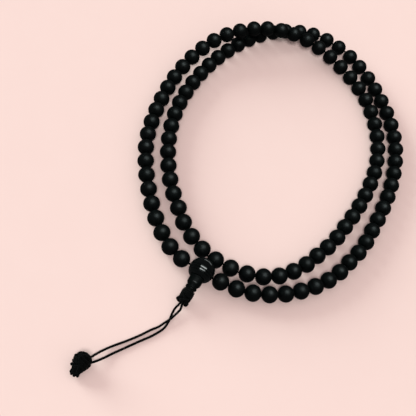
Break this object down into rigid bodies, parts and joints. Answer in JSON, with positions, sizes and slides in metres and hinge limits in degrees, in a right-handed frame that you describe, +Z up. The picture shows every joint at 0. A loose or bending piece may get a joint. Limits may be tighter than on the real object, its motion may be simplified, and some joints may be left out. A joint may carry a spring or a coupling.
{
  "type": "mala prayer beads",
  "caption": "String of round dark wooden prayer beads laid in a double loop, with a larger guru bead, a tower bead, a wrapped knot and a short two-strand tail that ends in a knot.",
  "frame": {"origin": "on the ground, at the middle of the laid loop with its guru bead and knot", "axes": "+Z up; -Y from the loop towards the guru bead and the tail; +X to the right with the guru bead nearest"},
  "size_m": [0.1351, 0.2504, 0.0165],
  "materials": {
    "bead_wood": "near-black dyed wood, matte, close-grained",
    "guru_wood": "near-black dyed wood, turned and waxed to a soft gloss",
    "cord": "black braided nylon cord",
    "knot_cord": "black braided nylon cord, knotted tight"
  },
  "bodies": {
    "laid_loop": {"cord_lower_loop": "cord", "guru_bead": "guru_wood", "guru_knot": "knot_cord"},
    "upper_loop": {"cord_upper_loop": "cord"},
    "tower_bead": {"tower_bead": "guru_wood"},
    "tail": {"tail_cord_left": "cord", "tail_cord_right": "cord", "end_knot": "knot_cord"},
    "bead_001": {"bead_001": "bead_wood"},
    "beads_002_003": {"beads_002_003": "bead_wood"},
    "beads_004_005": {"beads_004_005": "bead_wood"},
    "beads_006_007": {"beads_006_007": "bead_wood"},
    "beads_008_009": {"beads_008_009": "bead_wood"},
    "beads_010_011": {"beads_010_011": "bead_wood"},
    "beads_012_013": {"beads_012_013": "bead_wood"},
    "beads_014_015": {"beads_014_015": "bead_wood"},
    "beads_016_017": {"beads_016_017": "bead_wood"},
    "beads_018_019": {"beads_018_019": "bead_wood"},
    "beads_020_021": {"beads_020_021": "bead_wood"},
    "beads_022_023": {"beads_022_023": "bead_wood"},
    "beads_024_025": {"beads_024_025": "bead_wood"},
    "beads_026_027": {"beads_026_027": "bead_wood"},
    "beads_028_029": {"beads_028_029": "bead_wood"},
    "beads_030_031": {"beads_030_031": "bead_wood"},
    "beads_032_033": {"beads_032_033": "bead_wood"},
    "beads_034_035": {"beads_034_035": "bead_wood"},
    "beads_036_037": {"beads_036_037": "bead_wood"},
    "beads_038_039": {"beads_038_039": "bead_wood"},
    "beads_040_041": {"beads_040_041": "bead_wood"},
    "beads_042_043_044": {"beads_042_043_044": "bead_wood"},
    "beads_045_046_047": {"beads_045_046_047": "bead_wood"},
    "beads_048_049": {"beads_048_049": "bead_wood"},
    "beads_050_051": {"beads_050_051": "bead_wood"},
    "beads_052_053": {"beads_052_053": "bead_wood"},
    "beads_054_055": {"beads_054_055": "bead_wood"},
    "beads_056_057_058": {"beads_056_057_058": "bead_wood"},
    "beads_059_060": {"beads_059_060": "bead_wood"},
    "beads_061_062": {"beads_061_062": "bead_wood"},
    "beads_063_064": {"beads_063_064": "bead_wood"},
    "beads_065_066": {"beads_065_066": "bead_wood"},
    "beads_067_068": {"beads_067_068": "bead_wood"},
    "beads_069_070": {"beads_069_070": "bead_wood"},
    "beads_071_072": {"beads_071_072": "bead_wood"},
    "beads_073_074": {"beads_073_074": "bead_wood"},
    "beads_075_076": {"beads_075_076": "bead_wood"},
    "beads_077_078": {"beads_077_078": "bead_wood"},
    "beads_079_080": {"beads_079_080": "bead_wood"},
    "beads_081_082": {"beads_081_082": "bead_wood"},
    "beads_083_084": {"beads_083_084": "bead_wood"},
    "beads_085_086": {"beads_085_086": "bead_wood"},
    "beads_087_088": {"beads_087_088": "bead_wood"},
    "beads_089_090": {"beads_089_090": "bead_wood"},
    "beads_091_092": {"beads_091_092": "bead_wood"},
    "beads_093_094": {"beads_093_094": "bead_wood"},
    "beads_095_096_097": {"beads_095_096_097": "bead_wood"},
    "beads_098_099_100": {"beads_098_099_100": "bead_wood"},
    "beads_101_102": {"beads_101_102": "bead_wood"},
    "beads_103_104": {"beads_103_104": "bead_wood"},
    "beads_105_106": {"beads_105_106": "bead_wood"},
    "beads_107_108": {"beads_107_108": "bead_wood"}
  },
  "joints": [
    {"name": "upper_loop_lift", "type": "hinge", "parent": "laid_loop", "child": "upper_loop", "pos_m": [-0.01294, -0.07925, 0.0053], "axis": [0.941, 0.3367, -0.0324], "range_deg": [0, 45]},
    {"name": "tail_swing", "type": "hinge", "parent": "laid_loop", "child": "tail", "pos_m": [-0.0089, -0.0993, 0.0028], "axis": [0, 0, 1], "range_deg": [-50, 60]},
    {"name": "tower_bead_turn", "type": "hinge", "parent": "laid_loop", "child": "tower_bead", "pos_m": [-0.00772, -0.08795, 0.00478], "axis": [-0.1031, -0.9809, -0.165], "continuous": true},
    {"name": "bead_001_slide", "type": "slide", "parent": "upper_loop", "child": "bead_001", "axis": [0.9676, -0.2064, 0.1455], "range_m": [0, 0.0005]},
    {"name": "beads_002_003_turn", "type": "hinge", "parent": "upper_loop", "child": "beads_002_003", "pos_m": [-0.02814, -0.07228, 0.004], "axis": [-0.7869, 0.617, 0], "continuous": true},
    {"name": "beads_004_005_turn", "type": "hinge", "parent": "upper_loop", "child": "beads_004_005", "pos_m": [-0.03955, -0.06083, 0.004], "axis": [-0.6137, 0.7895, 0], "continuous": true},
    {"name": "beads_006_007_turn", "type": "hinge", "parent": "upper_loop", "child": "beads_006_007", "pos_m": [-0.04874, -0.04741, 0.004], "axis": [-0.5137, 0.858, 0], "continuous": true},
    {"name": "beads_008_009_turn", "type": "hinge", "parent": "upper_loop", "child": "beads_008_009", "pos_m": [-0.05611, -0.03292, 0.004], "axis": [-0.3916, 0.9201, 0], "continuous": true},
    {"name": "beads_010_011_turn", "type": "hinge", "parent": "upper_loop", "child": "beads_010_011", "pos_m": [-0.06078, -0.01743, 0.004], "axis": [-0.1823, 0.9832, 0], "continuous": true},
    {"name": "beads_012_013_turn", "type": "hinge", "parent": "upper_loop", "child": "beads_012_013", "pos_m": [-0.06275, -0.00129, 0.00404], "axis": [-0.059, 0.9982, 0.0054], "continuous": true},
    {"name": "beads_014_015_turn", "type": "hinge", "parent": "upper_loop", "child": "beads_014_015", "pos_m": [-0.06288, 0.01517, 0.00444], "axis": [0.0433, 0.9982, 0.0424], "continuous": true},
    {"name": "beads_016_017_turn", "type": "hinge", "parent": "upper_loop", "child": "beads_016_017", "pos_m": [-0.06065, 0.03131, 0.00606], "axis": [0.2278, 0.9612, 0.1557], "continuous": true},
    {"name": "beads_018_019_turn", "type": "hinge", "parent": "upper_loop", "child": "beads_018_019", "pos_m": [-0.05522, 0.04646, 0.00899], "axis": [0.4321, 0.8794, 0.1997], "continuous": true},
    {"name": "beads_020_021_turn", "type": "hinge", "parent": "upper_loop", "child": "beads_020_021", "pos_m": [-0.04618, 0.05976, 0.0116], "axis": [0.6665, 0.7363, 0.1169], "continuous": true},
    {"name": "beads_022_023_turn", "type": "hinge", "parent": "upper_loop", "child": "beads_022_023", "pos_m": [-0.03409, 0.07071, 0.0125], "axis": [0.8032, 0.5956, -0.0078], "continuous": true},
    {"name": "beads_024_025_turn", "type": "hinge", "parent": "upper_loop", "child": "beads_024_025", "pos_m": [-0.02005, 0.07882, 0.01103], "axis": [0.9049, 0.3897, -0.1712], "continuous": true},
    {"name": "beads_026_027_turn", "type": "hinge", "parent": "upper_loop", "child": "beads_026_027", "pos_m": [-0.0046, 0.0825, 0.00787], "axis": [0.9754, 0.0577, -0.2129], "continuous": true},
    {"name": "beads_028_029_turn", "type": "hinge", "parent": "upper_loop", "child": "beads_028_029", "pos_m": [0.01117, 0.08052, 0.0051], "axis": [0.9462, -0.2985, -0.125], "continuous": true},
    {"name": "beads_030_031_turn", "type": "hinge", "parent": "upper_loop", "child": "beads_030_031", "pos_m": [0.02564, 0.07343, 0.00404], "axis": [0.823, -0.568, -0.0046], "continuous": true},
    {"name": "beads_032_033_turn", "type": "hinge", "parent": "upper_loop", "child": "beads_032_033", "pos_m": [0.03744, 0.06233, 0.004], "axis": [0.6172, -0.7868, 0], "continuous": true},
    {"name": "beads_034_035_turn", "type": "hinge", "parent": "upper_loop", "child": "beads_034_035", "pos_m": [0.04609, 0.04851, 0.004], "axis": [0.4384, -0.8988, 0], "continuous": true},
    {"name": "beads_036_037_turn", "type": "hinge", "parent": "upper_loop", "child": "beads_036_037", "pos_m": [0.05146, 0.03314, 0.004], "axis": [0.2168, -0.9762, 0], "continuous": true},
    {"name": "beads_038_039_turn", "type": "hinge", "parent": "upper_loop", "child": "beads_038_039", "pos_m": [0.05326, 0.01693, 0.004], "axis": [0.003, -1, 0], "continuous": true},
    {"name": "beads_040_041_turn", "type": "hinge", "parent": "upper_loop", "child": "beads_040_041", "pos_m": [0.05231, 0.00057, 0.004], "axis": [-0.1183, -0.993, 0], "continuous": true},
    {"name": "beads_042_043_044_turn", "type": "hinge", "parent": "upper_loop", "child": "beads_042_043_044", "pos_m": [0.04867, -0.01955, 0.004], "axis": [-0.218, -0.976, 0], "continuous": true},
    {"name": "beads_045_046_047_turn", "type": "hinge", "parent": "upper_loop", "child": "beads_045_046_047", "pos_m": [0.04092, -0.04266, 0.004], "axis": [-0.4148, -0.9099, 0], "continuous": true},
    {"name": "beads_048_049_turn", "type": "hinge", "parent": "upper_loop", "child": "beads_048_049", "pos_m": [0.0303, -0.05979, 0.004], "axis": [-0.6796, -0.7336, 0], "continuous": true},
    {"name": "beads_050_051_turn", "type": "hinge", "parent": "laid_loop", "child": "beads_050_051", "pos_m": [0.01692, -0.06839, 0.004], "axis": [-0.9497, -0.3131, 0], "continuous": true},
    {"name": "beads_052_053_turn", "type": "hinge", "parent": "laid_loop", "child": "beads_052_053", "pos_m": [0.00093, -0.07058, 0.004], "axis": [-0.9989, 0.0466, 0], "continuous": true},
    {"name": "beads_054_055_turn", "type": "hinge", "parent": "laid_loop", "child": "beads_054_055", "pos_m": [-0.01452, -0.06634, 0.004], "axis": [-0.8824, 0.4705, 0], "continuous": true},
    {"name": "beads_056_057_058_turn", "type": "hinge", "parent": "laid_loop", "child": "beads_056_057_058", "pos_m": [-0.02975, -0.05314, 0.004], "axis": [-0.6507, 0.7593, 0], "continuous": true},
    {"name": "beads_059_060_turn", "type": "hinge", "parent": "laid_loop", "child": "beads_059_060", "pos_m": [-0.04164, -0.0368, 0.004], "axis": [-0.4885, 0.8725, 0], "continuous": true},
    {"name": "beads_061_062_turn", "type": "hinge", "parent": "laid_loop", "child": "beads_061_062", "pos_m": [-0.04838, -0.02205, 0.004], "axis": [-0.3395, 0.9406, 0], "continuous": true},
    {"name": "beads_063_064_turn", "type": "hinge", "parent": "laid_loop", "child": "beads_063_064", "pos_m": [-0.05252, -0.00638, 0.004], "axis": [-0.1696, 0.9855, 0], "continuous": true},
    {"name": "beads_065_066_turn", "type": "hinge", "parent": "laid_loop", "child": "beads_065_066", "pos_m": [-0.05376, 0.00978, 0.004], "axis": [0.0174, 0.9998, 0], "continuous": true},
    {"name": "beads_067_068_turn", "type": "hinge", "parent": "laid_loop", "child": "beads_067_068", "pos_m": [-0.05237, 0.02596, 0.004], "axis": [0.153, 0.9882, 0], "continuous": true},
    {"name": "beads_069_070_turn", "type": "hinge", "parent": "laid_loop", "child": "beads_069_070", "pos_m": [-0.04885, 0.04182, 0.004], "axis": [0.2796, 0.9601, 0], "continuous": true},
    {"name": "beads_071_072_turn", "type": "hinge", "parent": "laid_loop", "child": "beads_071_072", "pos_m": [-0.04322, 0.05706, 0.004], "axis": [0.4113, 0.9115, 0], "continuous": true},
    {"name": "beads_073_074_turn", "type": "hinge", "parent": "laid_loop", "child": "beads_073_074", "pos_m": [-0.03538, 0.07126, 0.004], "axis": [0.5525, 0.8335, 0], "continuous": true},
    {"name": "beads_075_076_turn", "type": "hinge", "parent": "laid_loop", "child": "beads_075_076", "pos_m": [-0.02446, 0.0837, 0.004], "axis": [0.7563, 0.6543, 0], "continuous": true},
    {"name": "beads_077_078_turn", "type": "hinge", "parent": "laid_loop", "child": "beads_077_078", "pos_m": [-0.01035, 0.09207, 0.004], "axis": [0.9372, 0.3487, 0], "continuous": true},
    {"name": "beads_079_080_turn", "type": "hinge", "parent": "laid_loop", "child": "beads_079_080", "pos_m": [0.00569, 0.09371, 0.004], "axis": [0.9887, -0.1498, 0], "continuous": true},
    {"name": "beads_081_082_turn", "type": "hinge", "parent": "laid_loop", "child": "beads_081_082", "pos_m": [0.02121, 0.08839, 0.004], "axis": [0.8728, -0.488, 0], "continuous": true},
    {"name": "beads_083_084_turn", "type": "hinge", "parent": "laid_loop", "child": "beads_083_084", "pos_m": [0.03462, 0.07861, 0.004], "axis": [0.7339, -0.6793, 0], "continuous": true},
    {"name": "beads_085_086_turn", "type": "hinge", "parent": "laid_loop", "child": "beads_085_086", "pos_m": [0.04578, 0.06679, 0.004], "axis": [0.6359, -0.7718, 0], "continuous": true},
    {"name": "beads_087_088_turn", "type": "hinge", "parent": "laid_loop", "child": "beads_087_088", "pos_m": [0.05484, 0.05335, 0.004], "axis": [0.4762, -0.8793, 0], "continuous": true},
    {"name": "beads_089_090_turn", "type": "hinge", "parent": "laid_loop", "child": "beads_089_090", "pos_m": [0.06071, 0.03831, 0.004], "axis": [0.246, -0.9693, 0], "continuous": true},
    {"name": "beads_091_092_turn", "type": "hinge", "parent": "laid_loop", "child": "beads_091_092", "pos_m": [0.06345, 0.02235, 0.004], "axis": [0.0914, -0.9958, 0], "continuous": true},
    {"name": "beads_093_094_turn", "type": "hinge", "parent": "laid_loop", "child": "beads_093_094", "pos_m": [0.06387, 0.00613, 0.004], "axis": [-0.0398, -0.9992, 0], "continuous": true},
    {"name": "beads_095_096_097_turn", "type": "hinge", "parent": "laid_loop", "child": "beads_095_096_097", "pos_m": [0.06215, -0.01418, 0.004], "axis": [-0.1144, -0.9934, 0], "continuous": true},
    {"name": "beads_098_099_100_turn", "type": "hinge", "parent": "laid_loop", "child": "beads_098_099_100", "pos_m": [0.05671, -0.03785, 0.004], "axis": [-0.3309, -0.9437, 0], "continuous": true},
    {"name": "beads_101_102_turn", "type": "hinge", "parent": "laid_loop", "child": "beads_101_102", "pos_m": [0.04778, -0.05588, 0.004], "axis": [-0.5999, -0.8, 0], "continuous": true},
    {"name": "beads_103_104_turn", "type": "hinge", "parent": "laid_loop", "child": "beads_103_104", "pos_m": [0.03663, -0.06762, 0.004], "axis": [-0.7684, -0.64, 0], "continuous": true},
    {"name": "beads_105_106_turn", "type": "hinge", "parent": "laid_loop", "child": "beads_105_106", "pos_m": [0.02289, -0.07608, 0.00402], "axis": [-0.9177, -0.3973, 0.0027], "continuous": true},
    {"name": "beads_107_108_turn", "type": "hinge", "parent": "laid_loop", "child": "beads_107_108", "pos_m": [0.00731, -0.08008, 0.00467], "axis": [-0.9927, -0.0932, 0.0766], "continuous": true}
  ]
}
